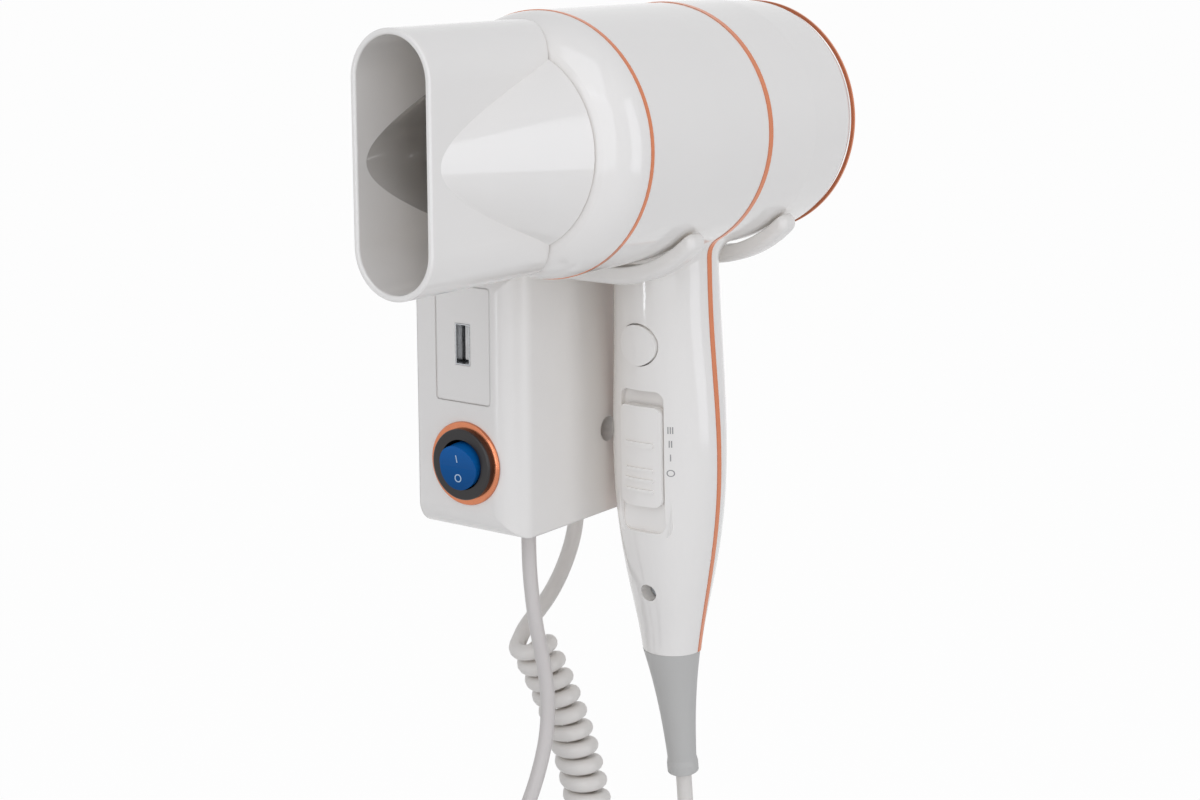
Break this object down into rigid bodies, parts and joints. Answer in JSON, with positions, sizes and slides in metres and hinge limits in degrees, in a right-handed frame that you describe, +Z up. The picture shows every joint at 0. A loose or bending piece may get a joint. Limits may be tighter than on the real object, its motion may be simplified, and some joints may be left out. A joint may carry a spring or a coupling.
{
  "type": "wall-mounted hair dryer",
  "caption": "Pistol-grip hair dryer with a flat nozzle resting in the fork of its wall holder, which has a charging socket, a rocker switch, a curly cord and a mains lead.",
  "frame": {"origin": "middle of the holder's back, on the wall", "axes": "+Y into the wall, +Z up, -X the way the nozzle points"},
  "size_m": [0.1918, 0.1002, 0.4008],
  "materials": {
    "white_gloss": "glossy white moulded plastic",
    "rear_white": "glossy white moulded grille",
    "rose_gold": "rose-gold plated trim, satin",
    "grey_rubber": "soft light-grey strain relief",
    "cord_white": "off-white cord jacket",
    "black_plastic": "black moulded plastic",
    "blue_clear": "translucent blue switch cap",
    "steel": "plated steel",
    "tin_brass": "brass, plated",
    "inner_plastic": "plain moulded plastic",
    "mica": "mica sheet",
    "circuit_board": "glass-fibre circuit board"
  },
  "bodies": {
    "base": {"base_housing": "white_gloss", "wall_plate": "inner_plastic", "base_screw": "steel", "cradle": "white_gloss", "fork_screws": "steel", "usb_panel": "white_gloss", "usb_shell": "steel", "usb_tongue": "black_plastic", "usb_board": "circuit_board", "rocker_trim_ring": "rose_gold", "rocker_bezel": "black_plastic", "switch_terminals": "tin_brass", "power_board": "circuit_board", "transformer": "black_plastic", "terminal_block": "black_plastic", "lead_gland": "cord_white", "curly_gland": "cord_white", "mains_lead": "cord_white", "mains_coil": "cord_white", "lead_tie": "black_plastic", "plug": "cord_white", "plug_pins": "tin_brass", "curly_cord": "cord_white"},
    "dryer": {"front_shell": "white_gloss", "rear_shell": "white_gloss", "seam_strip": "rose_gold", "front_trim_ring": "rose_gold", "rear_trim_ring": "rose_gold", "outlet_grille": "black_plastic", "heater_former": "mica", "heater_wire": "tin_brass", "thermal_cutout": "steel", "fan_duct": "inner_plastic", "motor": "steel", "intake_filter": "black_plastic", "rear_grille": "rear_white", "handle_board": "circuit_board", "speed_switch": "black_plastic", "cool_switch": "black_plastic", "ion_module": "black_plastic", "handle_screw": "steel", "cord_boot": "grey_rubber"},
    "nozzle": {"nozzle": "white_gloss"},
    "fan": {"motor_shaft": "steel", "fan_impeller": "inner_plastic"},
    "speed_knob": {"speed_knob": "white_gloss"},
    "cool_button": {"cool_button": "white_gloss"},
    "rocker": {"rocker": "blue_clear"}
  },
  "joints": [
    {"name": "dryer_lift", "type": "slide", "parent": "base", "child": "dryer", "axis": [0, -0.7071, 0.7071], "range_m": [0, 0.12], "deforming": ["curly_cord"]},
    {"name": "nozzle_turn", "type": "hinge", "parent": "dryer", "child": "nozzle", "pos_m": [-0.1, -0.061, 0.0844], "axis": [1, 0, 0], "continuous": true},
    {"name": "fan_spin", "type": "hinge", "parent": "dryer", "child": "fan", "pos_m": [0.02, -0.061, 0.0844], "axis": [1, 0, 0], "continuous": true},
    {"name": "speed_slide", "type": "slide", "parent": "dryer", "child": "speed_knob", "axis": [0, 0, 1], "range_m": [-0.0088, 0.0044]},
    {"name": "cool_press", "type": "slide", "parent": "dryer", "child": "cool_button", "axis": [1, 0, 0], "range_m": [0, 0.002], "stiffness_N_per_m": 600},
    {"name": "rocker_tip", "type": "hinge", "parent": "base", "child": "rocker", "pos_m": [-0.0494, -0.0195, -0.0198], "axis": [0, 1, 0], "range_deg": [0, 14]}
  ]
}
